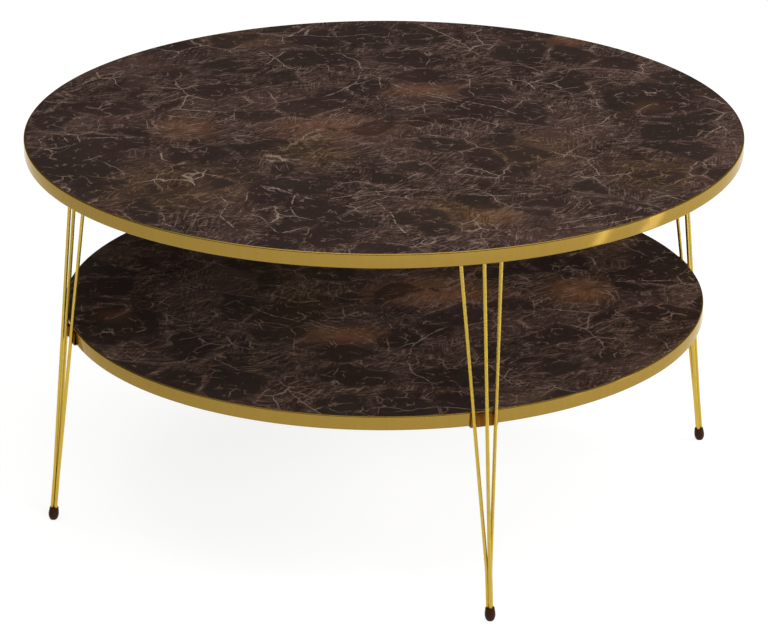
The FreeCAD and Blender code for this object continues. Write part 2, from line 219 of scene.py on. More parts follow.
@dataclass(frozen=True)
class MarbleLaminate:
    """Satin melamine sheet printed with dark brown marble, on flat boards.

    To the eye it is calm dark plates in a busy net of tan streaks and cream veins, with hardly any gloss.
    """

    name: str = "marble_print_laminate"
    turn: float = 0.0
    shade: str = "#281A16"
    ground: str = "#352420"
    tint: str = "#402D28"
    streak: str = "#887165"
    hollow: str = "#170F0C"
    plate: str = "#2C201E"
    moss: str = "#29221C"
    rust: str = "#64432E"
    olive: str = "#866C4C"
    cream: str = "#9C897B"
    roughness: float = 0.36
    ior: float = 1.5
    gloss: float = 0.2
    cloud_mm: float = 150
    plate_mm: float = 66
    bend: Push = Push(110, 16)
    crag: Push = Push(30, 6)
    fray: Push = Push(34, 2.4)
    crack_push: Push = Push(14, 3.5)
    ground_fade: Fade = Fade(0.40, 0.56)
    tint_fade: Fade = Fade(0.50, 0.68)
    rust_fade: Fade = Fade(1.5, 0.1, 0.7)
    olive_fade: Fade = Fade(1.5, 0.3)
    olive_wash: float = 0.05
    plate_rim: Fade = Fade(0.03, 0.12)
    plate_choice: Fade = Fade(0.54, 0.62, 0.8)
    plate_cover: float = 0.8
    stone_fade: Fade = Fade(1.1, 0.8, 0.85)
    streak_turn: tuple[float, float] = (-1.6, 0.3)
    streak_slimness: float = 11
    streak_fill: Fade = Fade(0.1, 0.9, 0.8)
    streak_light: Fade = Fade(0.50, 0.74)
    streak_gap: Fade = Fade(0.47, 0.32)
    vein_push: tuple[float, float] = (0.4, 0.08)
    vein_core: float = 0.3
    vein_patch: float = 1.1
    vein_fade: float = 0.12
    crack_fade: Fade = Fade(1.2 * MM, 0.2 * MM, 0.65)
    layers: tuple[StreakLayer, ...] = (
        StreakLayer(14.4, 11, 12),
        StreakLayer(24, 17.6, 8),
        StreakLayer(57.6, 39.6, 0),
        StreakLayer(36, 26.4, 4),
    )
    nets: tuple[VeinNet, ...] = (
        VeinNet(15, 0.9, 0.45, 0.53, 5),
        VeinNet(30, 0.9, 0.55, 0.52, 7),
        VeinNet(66, 0.85, 0.6, 0.49, 9, pale=True),
    )
    stones: tuple[Spot, ...] = (
        Spot(152, -37, 20, 38),
        Spot(5, -189, 22, 20),
        Spot(-92, 373, 36, 34),
        Spot(-28, 391, 40, 36),
        Spot(32, 281, 48, 36),
        Spot(-83, 285, 56, 36),
        Spot(-18, 166, 32, 30),
        Spot(239, 193, 28, 46),
        Spot(-138, -248, 28, 46),
        Spot(41, -327, 36, 32),
        Spot(294, 377, 38, 34),
        Spot(-377, -129, 60, 80),
        Spot(350, 129, 56, 52),
        Spot(129, 138, 38, 34),
    )
    rusts: tuple[Spot, ...] = (
        Spot(-64, 0, 84, 48),
        Spot(-248, 0, 40, 46),
        Spot(129, -322, 38, 36),
        Spot(248, 368, 34, 30),
        Spot(46, 147, 56, 30),
        Spot(340, 83, 26, 24),
    )
    olives: tuple[Spot, ...] = (
        Spot(-258, -221, 95, 90),
        Spot(184, -92, 64, 60),
        Spot(83, -313, 58, 54),
        Spot(331, -166, 58, 60),
        Spot(-92, -92, 58, 54),
        Spot(-193, 368, 44, 40),
    )
    cracks: tuple[tuple[tuple[float, float], ...], ...] = (
        ((-168, 313), (-152, 302), (-143, 285), (-131, 250), (-115, 235)),
        ((-132, 313), (-143, 285), (-156, 253)),
        ((-64, 308), (-35, 271), (-29, 235), (-35, 184), (-55, 147), (-75, 124)),
        ((-32, 244), (0, 235)),
        ((9, 175), (41, 138), (74, 115), (92, 97)),
        ((51, 432), (69, 405), (97, 363), (115, 322)),
        ((175, 262), (207, 225)),
        ((55, 138), (92, 110), (138, 83), (166, 55)),
        ((-340, 230), (-386, 193)),
        ((-373, 202), (-396, 166)),
        ((41, -175), (18, -202)),
        ((-133, -221), (-106, -248), (-110, -294), (-101, -331)),
        ((-106, -248), (-83, -267)),
        ((-198, -248), (-184, -276), (-193, -322), (-175, -359)),
        ((-161, -239), (-166, -276), (-184, -276)),
        ((-9, -276), (9, -313), (14, -350), (28, -386)),
        ((-64, -262), (-18, -239), (37, -230), (64, -221)),
        ((101, -248), (138, -253), (175, -244)),
        ((202, -368), (258, -350), (304, -322)),
        ((202, -350), (276, -313)),
        ((129, -359), (147, -386)),
        ((83, 32), (110, 37), (143, 9), (133, -18)),
        ((-297, -37), (-373, -41)),
        ((-400, -32), (-391, -55)),
    )

    def make(self) -> bpy.types.Material:
        """Builds the material: a print that lies flat under a clear satin coat.

        Returns:
            The finished material.
        """
        s = Shading.material(self.name)
        place = s.add("TexCoord", None, "Object")
        turn = (0, 0, self.turn - PHOTO_AZIMUTH)
        sheet = s.add("Mapping", {"Vector": place, "Rotation": turn, "Scale": (1, 1, 0)})
        bent = self.pushed(s, sheet, self.bend)
        craggy = self.pushed(s, bent, self.crag)
        frayed = self.pushed(s, sheet, self.fray)

        # brown ground in three tones, with rust patches and a breath of olive
        clouds = {"Vector": bent, "Scale": per_metre(self.cloud_mm), "Detail": 5, "Roughness": 0.6}
        cloud = s.add("TexNoise", clouds, "Fac")
        low = s.add("MapRange", self.ground_fade.of(cloud), **SOFT)
        high = s.add("MapRange", self.tint_fade.of(cloud), **SOFT)
        colour = s.add("Mix", {0: low, 6: linear(self.shade), 7: linear(self.ground)}, 2, **RGBA)
        colour = s.add("Mix", {0: high, 6: colour, 7: linear(self.tint)}, 2, **RGBA)
        warm = s.add("MapRange", self.rust_fade.of(self.spots(s, craggy, self.rusts)), **SOFT)
        colour = s.add("Mix", {0: warm, 6: colour, 7: linear(self.rust)}, 2, **RGBA)
        green = s.add("MapRange", self.olive_fade.of(self.spots(s, craggy, self.olives)), **SOFT)
        tone = s.add("Mix", {0: green, 6: linear(self.streak), 7: linear(self.olive)}, 2, **RGBA)
        wash = s.add("Math", {0: green, 1: self.olive_wash}, operation="MULTIPLY")
        colour = s.add("Mix", {0: wash, 6: colour, 7: linear(self.olive)}, 2, **RGBA)

        # calm plates: dark cells that the busy matter runs between
        cells = {"Vector": craggy, "Scale": per_metre(self.plate_mm)}
        draw = s.add("TexVoronoi", cells, "Color")
        cell = s.add("SeparateColor", {"Color": draw}, 0)
        hue = s.add("SeparateColor", {"Color": draw}, 1)
        edge = s.add("TexVoronoi", cells, "Distance", feature="DISTANCE_TO_EDGE")
        inside = s.add("MapRange", self.plate_rim.of(edge), **SOFT)
        chosen = s.add("MapRange", self.plate_choice.of(cell), **SOFT)
        calm = s.add("Math", {0: inside, 1: chosen}, operation="MULTIPLY")
        dark = s.add("MapRange", self.stone_fade.of(self.spots(s, craggy, self.stones)), **SOFT)
        calm = s.add("Math", {0: calm, 1: dark}, operation="MAXIMUM")
        busy = s.add("Math", {0: 1.0, 1: calm}, operation="SUBTRACT")

        # streaks, kept off the plates
        for layer in self.layers:
            light, deep = self.streaks(s, bent, frayed, layer)
            light = s.add("Math", {0: light, 1: busy}, operation="MULTIPLY")
            colour = s.add("Mix", {0: deep, 6: colour, 7: linear(self.hollow)}, 2, **RGBA)
            colour = s.add("Mix", {0: light, 6: colour, 7: tone}, 2, **RGBA)
        smooth = s.add("Mix", {0: hue, 6: linear(self.plate), 7: linear(self.moss)}, 2, **RGBA)
        cover = s.add("Math", {0: calm, 1: self.plate_cover}, operation="MULTIPLY")
        colour = s.add("Mix", {0: cover, 6: colour, 7: smooth}, 2, **RGBA)

        # veins and cracks over everything
        for net in self.nets:
            line = linear(self.cream) if net.pale else tone
            colour = s.add("Mix", {0: self.veins(s, craggy, net), 6: colour, 7: line}, 2, **RGBA)
        crack = self.lines(s, self.pushed(s, sheet, self.crack_push), self.cracks)
        shown = s.add("MapRange", self.crack_fade.of(crack), **SOFT)
        colour = s.add("Mix", {0: shown, 6: colour, 7: linear(self.cream)}, 2, **RGBA)
        satin = {"Roughness": self.roughness, "IOR": self.ior, "Specular IOR Level": self.gloss}
        return s.surface({"Base Color": colour, **satin})

    def pushed(self, s: Shading, place: Socket, push: Push) -> Socket:
        """Pushes coordinates about with noise, so that nothing in the print runs straight.

        Args:
            s: The material.
            place: The coordinates.
            push: Size and reach of the noise.

        Returns:
            The pushed coordinates.
        """
        noise = s.add("TexNoise", {"Vector": place, "Scale": per_metre(push.size), "Detail": 2}, "Color")
        centred = s.add("VectorMath", {0: noise, 1: (0.5, 0.5, 0.5)}, operation="SUBTRACT")
        reach = (2 * push.reach * MM,) * 3
        return s.add("VectorMath", {0: centred, 1: reach, 2: place}, operation="MULTIPLY_ADD")

    def spots(self, s: Shading, place: Socket, spots: tuple[Spot, ...]) -> Socket:
        """Distance to the nearest of some spots, in shares of its size.

        Args:
            s: The material.
            place: Coordinates.
            spots: The spots.

        Returns:
            The distance: 0 in the middle of a spot and 1 at its rim.
        """
        nearest = FAR
        for spot in spots:
            fitted = {
                "Vector": place,
                "Location": (spot.across * MM, spot.away * MM, 0),
                "Scale": (spot.width * MM, spot.depth * MM, 1),
            }
            offset = s.add("Mapping", fitted, vector_type="TEXTURE")
            distance = s.add("VectorMath", {0: offset}, "Value", operation="LENGTH")
            nearest = s.add("Math", {0: nearest, 1: distance}, operation="MINIMUM")
        return nearest

    def lines(
        self, s: Shading, place: Socket, lines: tuple[tuple[tuple[float, float], ...], ...]
    ) -> Socket:
        """Distance to the nearest of some bent lines.

        Args:
            s: The material.
            place: Coordinates.
            lines: The lines, each by its points in millimetres.

        Returns:
            The distance in metres.
        """
        nearest = FAR
        for line in lines:
            for start, end in zip(line, line[1:]):
                begin = Vector((*start, 0)) * MM
                run = Vector((end[0] - start[0], end[1] - start[1], 0)) * MM
                offset = s.add("VectorMath", {0: place, 1: begin}, operation="SUBTRACT")
                onto = {0: offset, 1: run / run.length_squared}
                along = s.add("VectorMath", onto, "Value", operation="DOT_PRODUCT")
                share = s.add("Clamp", {0: along})
                foot = s.add("VectorMath", {0: run, "Scale": share}, operation="SCALE")
                distance = s.add("VectorMath", {0: offset, 1: foot}, "Value", operation="DISTANCE")
                nearest = s.add("Math", {0: nearest, 1: distance}, operation="MINIMUM")
        return nearest

    def streaks(
        self, s: Shading, region: Socket, place: Socket, layer: StreakLayer
    ) -> tuple[Socket, Socket]:
        """Fine streaks that run one way in each patch of the stone, and another way in the next.

        Args:
            s: The material.
            region: Coordinates that the patches follow.
            place: Coordinates that the streaks follow.
            layer: The streaks' sizes.

        Returns:
            Masks of the light streaks and of the dark gaps between them.
        """
        shift = (layer.shift,) * 3
        least, most = self.streak_turn
        moved = s.add("VectorMath", {0: region, 1: shift}, operation="ADD")
        patch = s.add("TexVoronoi", {"Vector": moved, "Scale": per_metre(layer.patch)}, "Color")
        turn = s.add("SeparateColor", {"Color": patch}, 0)
        fill = s.add("SeparateColor", {"Color": patch}, 1)
        angle = s.add("MapRange", {0: turn, 3: least, 4: most})
        turned = s.add("VectorRotate", {"Vector": place, "Angle": angle}, rotation_type="Z_AXIS")
        slim = (1, self.streak_slimness, 1)
        drawn = s.add("Mapping", {"Vector": turned, "Location": shift, "Scale": slim})
        grain = {"Vector": drawn, "Scale": per_metre(layer.length), "Detail": 6, "Roughness": 0.68}
        noise = s.add("TexNoise", grain, "Fac")
        dense = s.add("MapRange", self.streak_fill.of(fill), **SOFT)
        bright = s.add("MapRange", self.streak_light.of(noise), **SOFT)
        gap = s.add("MapRange", self.streak_gap.of(noise), **SOFT)
        light = s.add("Math", {0: bright, 1: dense}, operation="MULTIPLY")
        deep = s.add("Math", {0: gap, 1: dense}, operation="MULTIPLY")
        return light, deep

    def veins(self, s: Shading, place: Socket, net: VeinNet) -> Socket:
        """Thin veins between cells, shown only in patches.

        Args:
            s: The material.
            place: Coordinates.
            net: The veins' sizes and where they show.

        Returns:
            The mask of the veins.
        """
        size, reach = self.vein_push
        bent = self.pushed(s, place, Push(size * net.size, reach * net.size))
        cells = {"Vector": bent, "Scale": per_metre(net.size)}
        edge = s.add("TexVoronoi", cells, "Distance", feature="DISTANCE_TO_EDGE")
        width = net.width / net.size
        line = s.add("MapRange", Fade(width, self.vein_core * width, net.cover).of(edge), **SOFT)
        moved = s.add("VectorMath", {0: bent, 1: (net.shift,) * 3}, operation="ADD")
        patches = {"Vector": moved, "Scale": per_metre(self.vein_patch * net.size), "Detail": 3}
        noise = s.add("TexNoise", patches, "Fac")
        patch = s.add("MapRange", Fade(net.start, net.start + self.vein_fade).of(noise), **SOFT)
        return s.add("Math", {0: line, 1: patch}, operation="MULTIPLY")


@dataclass(frozen=True)
class GoldFoilBand:
    """Plastic edge strip faced with satin gold foil.

    To the eye it is an even yellow metal that mirrors lights softly, with faint upright streaks.
    """

    colour: str = "#8A6E2C"
    pale: str = "#907532"
    edge_tint: str = "#F4E6C4"
    roughness: float = 0.13
    metallic: float = 0.75
    streak_mm: float = 9.0
    flatten: float = 0.04

    def make(self) -> bpy.types.Material:
        """Builds the material.

        Returns:
            The finished material.
        """
        s = Shading.material("gold_foil_edge_band")
        place = s.add("TexCoord", None, "Object")
        upright = s.add("Mapping", {"Vector": place, "Scale": (1, 1, self.flatten)})
        streaks = {"Vector": upright, "Scale": per_metre(self.streak_mm), "Detail": 3}
        noise = s.add("TexNoise", streaks, "Fac")
        colour = s.add("Mix", {0: noise, 6: linear(self.colour), 7: linear(self.pale)}, 2, **RGBA)
        foil = {"Base Color": colour, "Metallic": self.metallic, "Roughness": self.roughness}
        return s.surface({**foil, "Specular Tint": linear(self.edge_tint)})


@dataclass(frozen=True)
class Metal:
    """Plated or lacquered steel.

    To the eye it is a metal shine, broken up by fine lines that drawing and polishing left. Real ones are
    finer than 0.1 mm. They are drawn coarser, to show.
    """

    name: str
    colour: str
    pale: str
    roughness: float
    coat: float = 0.0
    brushing: float = 0.0
    coat_roughness: float = 0.08
    line_mm: float = 0.8
    flatten: float = 0.05
    roughest: float = 1.5

    def make(self) -> bpy.types.Material:
        """Builds the material.

        Returns:
            The finished material.
        """
        s = Shading.material(self.name)
        place = s.add("TexCoord", None, "Object")
        drawn = s.add("Mapping", {"Vector": place, "Scale": (1, 1, self.flatten)})
        lines = {"Vector": drawn, "Scale": per_metre(self.line_mm), "Detail": 2}
        noise = s.add("TexNoise", lines, "Fac")
        colour = s.add("Mix", {0: noise, 6: linear(self.colour), 7: linear(self.pale)}, 2, **RGBA)
        most = self.roughest * self.roughness
        rough = s.add("MapRange", {0: noise, 1: 0.3, 2: 0.7, 3: self.roughness, 4: most})
        lacquer = {"Coat Weight": self.coat, "Coat Roughness": self.coat_roughness}
        # a rod is polished round and round, which blurs what it mirrors along its length
        upright = s.add("CombineXYZ", {0: 0.02, 1: 0.013, 2: 1.0})
        brushed = {"Anisotropic": self.brushing, "Tangent": upright}
        return s.surface({"Base Color": colour, "Metallic": 1.0, "Roughness": rough, **lacquer, **brushed})


@dataclass(frozen=True)
class Grained:
    """A non-metal of one colour, such as moulded plastic, melamine or fibreboard.

    To the eye it is a dull surface with a fine grain.
    """

    name: str
    colour: str
    pale: str
    roughness: float
    grain_mm: float
    bump: float
    ior: float = 1.5
    gloss: float = 0.5
    grain_depth: float = 0.1

    def make(self) -> bpy.types.Material:
        """Builds the material.

        Returns:
            The finished material.
        """
        s = Shading.material(self.name)
        place = s.add("TexCoord", None, "Object")
        noise = s.add("TexNoise", {"Vector": place, "Scale": per_metre(self.grain_mm), "Detail": 4}, "Fac")
        colour = s.add("Mix", {0: noise, 6: linear(self.colour), 7: linear(self.pale)}, 2, **RGBA)
        depth = self.grain_depth * self.grain_mm * MM
        grain = s.add("Bump", {"Height": noise, "Strength": self.bump, "Distance": depth})
        skin = {"Roughness": self.roughness, "IOR": self.ior, "Specular IOR Level": self.gloss}
        return s.surface({"Base Color": colour, "Normal": grain, **skin})


class Finishes:
    """Every finish on the table, made once and shared."""

    def __init__(self) -> None:
        """Makes the materials."""
        self.marble = {
            "top": MarbleLaminate().make(),
            # another cut of the sheet, turned half round, with more contrast in its streaks and rust
            "shelf": MarbleLaminate(
                "marble_print_laminate_turned", math.pi, streak="#987B6A", plate="#281B18", rust="#784D2E"
            ).make(),
        }
        self.band = GoldFoilBand().make()
        # gold under clear lacquer: a warm line of light down each rod
        self.gold = Metal("lacquered_gold_plating", *GOLD_PLATING, 0.32, coat=0.6, brushing=0.7).make()
        # the same gold on flat steel: an even glow
        self.gold_sheet = Metal("gold_plated_sheet", *GOLD_PLATING, 0.32, coat=0.6).make()
        # the same gold plating on steel, darkened to a dim coppery shine: painted shade where the bracket
        # sits between the rods and the shelf's band
        self.bronze = Metal("brown_gold_lacquer", "#7A4A1C", "#8C5A26", 0.35).make()
        # bright zinc: a cold grey shine
        self.zinc = Metal("zinc_plated_steel", "#A9A9A4", "#BDBDB8", 0.28).make()
        # soft plastic from a fine-grained mould: dark brown with a faint waxy light
        self.cap = Grained(
            "moulded_polyethylene", "#231005", "#301809", 0.42, grain_mm=0.8, bump=0.3, ior=1.51, gloss=0.1
        ).make()
        # plain pressed sheet: dull dark brown with a pearl grain
        self.backing = Grained("melamine_backing", "#3A2C25", "#44352D", 0.55, grain_mm=1.5, bump=0.2).make()
        # raw board: matt tan fibre
        self.core = Grained("fibreboard", "#8A6A48", "#A78560", 0.9, grain_mm=1.2, bump=0.5, ior=1.45).make()


# Modelling


def deselect_all() -> None:
    """Clears the selection, so that an operator acts on the new piece alone."""
    bpy.ops.object.select_all(action="DESELECT")


def named(name: str) -> bpy.types.Object:
    """Names the primitive that was just added and opens it for editing.

    Args:
        name: The piece's name.

    Returns:
        The piece.
    """
    piece = bpy.context.object
    piece.name = piece.data.name = name
    bpy.ops.object.transform_apply(location=True, rotation=True, scale=True)
    bpy.ops.object.mode_set(mode="EDIT")
    return piece


def select(piece: bpy.types.Object, kind: str, test: Callable[[object], bool]) -> None:
    """Selects part of the piece that is in edit mode.

    Args:
        piece: The piece.
        kind: VERT, EDGE or FACE.
        test: Says of a vertex, edge or face whether it is wanted.
    """
    bpy.ops.mesh.select_mode(type=kind)
    bpy.ops.mesh.select_all(action="DESELECT")
    mesh = bmesh.from_edit_mesh(piece.data)
    for item in {"VERT": mesh.verts, "EDGE": mesh.edges, "FACE": mesh.faces}[kind]:
        if test(item):
            item.select_set(True)
    mesh.select_flush_mode()
    bmesh.update_edit_mesh(piece.data)


def extrude(step: Vector) -> None:
    """Extrudes what is selected by a step."""
    bpy.ops.mesh.extrude_region_move(TRANSFORM_OT_translate={"value": step})


def cut_level(height: float, keep_below: bool) -> None:
    """Cuts what is selected at a height and fills the cut.

    Args:
        height: Height of the cut.
        keep_below: Whether what lies under the cut is kept, or what lies over it.
    """
    bpy.ops.mesh.bisect(
        plane_co=(0, 0, height),
        plane_no=(0, 0, 1),
        use_fill=True,
        clear_outer=keep_below,
        clear_inner=not keep_below,
        threshold=MERGED,
    )


def closed(piece: bpy.types.Object, smooth_angle: float = SMOOTH_ANGLE) -> None:
    """Merges doubles, turns the normals outwards, leaves edit mode and smooths the piece.

    Args:
        piece: The piece.
        smooth_angle: Edges flatter than this are smooth, in degrees.
    """
    bpy.ops.mesh.select_all(action="SELECT")
    bpy.ops.mesh.remove_doubles(threshold=MERGED)
    bpy.ops.mesh.normals_make_consistent(inside=False)
    bpy.ops.object.mode_set(mode="OBJECT")
    bpy.ops.object.shade_smooth_by_angle(angle=math.radians(smooth_angle))


def activate(piece: bpy.types.Object) -> None:
    """Makes a piece the one that operators act on.

    Args:
        piece: The piece.
    """
    deselect_all()
    piece.select_set(True)
    bpy.context.view_layer.objects.active = piece


def placed(piece: bpy.types.Object, matrix: Matrix) -> None:
    """Moves a piece and puts its place in its mesh.

    Args:
        piece: The piece.
        matrix: Where it goes.
    """
    activate(piece)
    piece.matrix_world = matrix
    bpy.ops.object.transform_apply(location=True, rotation=True, scale=True)


def copied(piece: bpy.types.Object, name: str, matrix: Matrix) -> bpy.types.Object:
    """Copies a piece, with a mesh of its own, to another place.

    Args:
        piece: The piece.
        name: The copy's name.
        matrix: How the copy is moved.

    Returns:
        The copy.
    """
    activate(piece)
    bpy.ops.object.duplicate(linked=False)
    copy = bpy.context.object
    copy.name = copy.data.name = name
    placed(copy, matrix)
    return copy


def modified(piece: bpy.types.Object, kind: str, **settings: object) -> None:
    """Adds a modifier and applies it.

    Args:
        piece: The piece.
        kind: The modifier's type.
        settings: Its properties.
    """
    activate(piece)
    modifier = piece.modifiers.new(kind.lower(), kind)
    for name, value in settings.items():
        setattr(modifier, name, value)
    bpy.ops.object.modifier_apply(modifier=modifier.name)


def drilled(piece: bpy.types.Object, places: list[Vector], radius: float, length: float = 10 * MM) -> None:
    """Cuts upright holes through a piece.

    Args:
        piece: The piece.
        places: A point on the axis of each hole, within the sheet.
        radius: The holes' radius.
        length: Length of the drill, which passes through the sheet.
    """
    for place in places:
        deselect_all()
        bpy.ops.mesh.primitive_cylinder_add(vertices=24, radius=radius, depth=length, location=place)
        drill = bpy.context.object
        modified(piece, "BOOLEAN", object=drill, operation="DIFFERENCE", solver="EXACT")
        bpy.data.objects.remove(drill)


def eased(piece: bpy.types.Object, width: float, sharp_angle: float = 50) -> None:
    """Eases the sharp edges of a piece and smooths it.

    Args:
        piece: The piece.
        width: Width of the easing.
        sharp_angle: Edges steeper than this are eased, in degrees.
    """
    sharp = math.radians(sharp_angle)
    modified(piece, "BEVEL", width=width, segments=2, limit_method="ANGLE", angle_limit=sharp)
    bpy.ops.object.shade_smooth_by_angle(angle=math.radians(SMOOTH_ANGLE))


def dress(piece: bpy.types.Object, material: bpy.types.Material, slot: str, *nodes: str) -> None:
    """Gives a new piece its finish and ties it to the frame.

    Args:
        piece: The piece.
        material: Its finish.
        slot: The record's slot for that finish. Not used.
        nodes: The nodes that it stands for.
    """
    piece.data.materials.clear()
    piece.data.materials.append(material)
    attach(piece, "root")
    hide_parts(*nodes)
    LOG.info("%s: %d faces", piece.name, len(piece.data.polygons))


def refinish(node: str, material: bpy.types.Material) -> None:
    """Gives a node that is kept as it is a better finish.

    Args:
        node: The node's name.
        material: The finish.
    """
    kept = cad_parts[node]
    for slot in kept.material_slots:
        slot.material = material
    LOG.info("%s: kept", node)


@dataclass
class Board:
    """A round board: a printed face sheet and an edge band, over a core and backing that are kept."""

    name: str
    radius: float
    underside: float
    seam_angle: float
    thickness: float = BOARD_THICKNESS
    face: float = 0.8 * MM
    band: float = 2.0 * MM
    glue: float = 0.2 * MM
    seam: float = 0.2 * MM
    edge_round: float = 1.7 * MM
    face_round: float = 0.12 * MM
    sides: int = 288

    def build(self, finishes: Finishes) -> None:
        """Builds and dresses the board.

        Args:
            finishes: The table's finishes.
        """
        marble = finishes.marble[self.name]
        dress(self.face_sheet(), marble, "marble_laminate", f"{self.name}_face_laminate")
        dress(self.edge_band(), finishes.band, "gold_edge_band", f"{self.name}_edge_band")
        refinish(f"{self.name}_core", finishes.core)
        refinish(f"{self.name}_backing_laminate", finishes.backing)

    def face_sheet(self) -> bpy.types.Object:
        """The printed sheet, its upper edge just eased.

        Returns:
            The piece.
        """
        middle = self.underside + self.thickness - self.face / 2
        inside = self.radius - self.band - self.glue
        deselect_all()
        bpy.ops.mesh.primitive_cylinder_add(
            vertices=self.sides, radius=inside, depth=self.face, location=(0, 0, middle)
        )
        piece = named(f"{self.name}_marble_face")
        select(piece, "EDGE", lambda edge: all(v.co.z > middle for v in edge.verts))
        bpy.ops.mesh.bevel(offset=self.face_round, segments=2, affect="EDGES")
        select(piece, "FACE", lambda face: face.normal.z > 0 and len(face.verts) == self.sides)
        bpy.ops.mesh.inset(thickness=self.band)
        closed(piece)
        return piece

    def edge_band(self) -> bpy.types.Object:
        """The band: a strip with rounded outer edges, bent round the board until its ends almost meet.

        Returns:
            The piece.
        """
        middle = self.radius - self.band / 2
        deselect_all()
        bpy.ops.mesh.primitive_plane_add(
            size=1, location=(middle, 0, self.underside + self.thickness / 2), rotation=(math.pi / 2, 0, 0)
        )
        bpy.context.object.scale = (self.band, self.thickness, 1)
        piece = named(f"{self.name}_gold_band")
        select(piece, "VERT", lambda vertex: vertex.co.x > middle)
        bpy.ops.mesh.bevel(offset=self.edge_round, segments=6, affect="VERTICES")
        bpy.ops.mesh.select_all(action="SELECT")
        gap = self.seam / self.radius
        bpy.ops.mesh.spin(steps=self.sides, angle=2 * math.pi - gap, center=(0, 0, 0), axis=(0, 0, 1))
        closed(piece)
        placed(piece, Matrix.Rotation(math.radians(self.seam_angle) - gap / 2, 4, "Z"))
        return piece


@dataclass
class LegLine:
    """Where a leg runs, in a frame that looks outwards along X: its foot, its lean and its three rods."""

    top_radius: float = TOP_RADIUS
    plate_underside: float = 459.5 * MM
    foot_setback: float = 12 * MM
    top_setback: float = 60.3 * MM
    rod_diameter: float = 4.5 * MM
    rod_gap: float = 0.05 * MM
    rod_spread: float = 26 * MM
    centre_standoff: float = 11 * MM
    knot_length: float = 62 * MM

    def __post_init__(self) -> None:
        """Works out the leg's axis and where the rods lie about it."""
        self.foot = Vector((self.top_radius - self.foot_setback, 0, 0))
        top = Vector((self.top_radius - self.top_setback, 0, self.plate_underside))
        self.length = (top - self.foot).length
        self.axis = (top - self.foot).normalized()
        self.outward = Vector((self.axis.z, 0, -self.axis.x))
        self.pitch = self.rod_diameter + self.rod_gap
        self.outer_offset = -self.pitch / (2 * math.sqrt(3))
        self.centre_offset = self.pitch / math.sqrt(3)

    def point(self, along: float, outward: float, sideways: float) -> Vector:
        """A point on the leg.

        Args:
            along: Distance from the foot, up the leg's axis.
            outward: Distance out from that axis.
            sideways: Distance along the rim.

        Returns:
            The point, in the leg's frame.
        """
        return self.foot + self.axis * along + self.outward * outward + Vector((0, sideways, 0))

    def half_spread(self, height: float) -> float:
        """Distance along the rim from the leg's axis to each outer rod.

        Args:
            height: Height above the floor, over the knot.

        Returns:
            The distance.
        """
        share = (height / self.axis.z - self.knot_length) / (self.length - self.knot_length)
        return self.pitch / 2 + (self.rod_spread - self.pitch / 2) * share


@dataclass
class Rod:
    """One of a leg's rods: a round bar, bent where it leaves the others, and cut level under the plate."""

    line: LegLine
    place: RodPlace
    bend_radius: float = 120 * MM
    cap_sole: float = 5 * MM
    sides: int = 32
    bend_steps: int = 6

    def model(self) -> bpy.types.Object:
        """Models the rod.

        Returns:
            The piece, in the leg's frame.
        """
        line = self.line
        knot = (line.outer_offset, self.place.value * line.pitch / 2)
        top = (line.outer_offset, self.place.value * line.rod_spread)
        if self.place is RodPlace.CENTRE:
            knot, top = (line.centre_offset, 0.0), (line.centre_standoff, 0.0)
        start = line.point(self.cap_sole, *knot)
        corner = line.point(line.knot_length, *knot)
        end = line.point(line.length, *top)
        lower = (corner - start).normalized()
        upper = (end - corner).normalized()
        turn = lower.angle(upper)
        reach = self.bend_radius * math.tan(turn / 2)
        hinge = lower.cross(upper).normalized()
        pivot = corner - lower * reach + hinge.cross(lower) * self.bend_radius

        deselect_all()
        bpy.ops.mesh.primitive_circle_add(
            vertices=self.sides,
            radius=line.rod_diameter / 2,
            fill_type="NGON",
            location=start,
            rotation=lower.to_track_quat("Z", "Y").to_euler(),
        )
        piece = named(f"{self.place.name.lower()}_rod")
        extrude(corner - start - lower * reach)
        # spin turns clockwise
        bpy.ops.mesh.spin(steps=self.bend_steps, angle=-turn, center=pivot, axis=hinge)
        extrude(end - corner + upper * (line.rod_diameter - reach))
        bpy.ops.mesh.select_all(action="SELECT")
        cut_level(line.plate_underside, keep_below=True)
        closed(piece)
        return piece


@dataclass
class FootCap:
    """The moulded cap on a foot: a barrel with a rounded end, cut level where it stands."""

    line: LegLine
    profile: tuple[tuple[float, float], ...] = (
        (2.90, -1.0),
        (4.05, 0.10),
        (4.92, 1.35),
        (5.56, 2.65),
        (6.05, 4.05),
        (6.38, 5.55),
        (6.53, 7.00),
        (6.47, 9.00),
        (6.28, 11.20),
        (6.00, 13.40),
        (5.66, 15.60),
        (5.55, 16.25),
        (5.42, 16.50),
        (5.10, 16.50),
        (4.96, 16.35),
        (4.94, 4.95),
    )
    sides: int = 48
    smooth_angle: float = 50

    def model(self) -> bpy.types.Object:
        """Models the cap, ring by ring up its outside and down its bore.

        Returns:
            The piece, in the leg's frame.
        """
        radius, height = self.profile[0]
        deselect_all()
        bpy.ops.mesh.primitive_circle_add(
            vertices=self.sides, radius=radius * MM, fill_type="NGON", location=(0, 0, height * MM)
        )
        piece = named("foot_cap")
        for ring in self.profile[1:]:
            extrude(Vector((0, 0, ring[1] - height)) * MM)
            bpy.ops.transform.resize(value=(ring[0] / radius, ring[0] / radius, 1))
            radius, height = ring
        closed(piece, self.smooth_angle)
        lean = self.line.axis.to_track_quat("Z", "Y").to_matrix().to_4x4()
        placed(piece, Matrix.Translation(self.line.foot) @ lean)
        bpy.ops.object.mode_set(mode="EDIT")
        bpy.ops.mesh.select_all(action="SELECT")
        cut_level(0, keep_below=False)
        closed(piece, self.smooth_angle)
        return piece


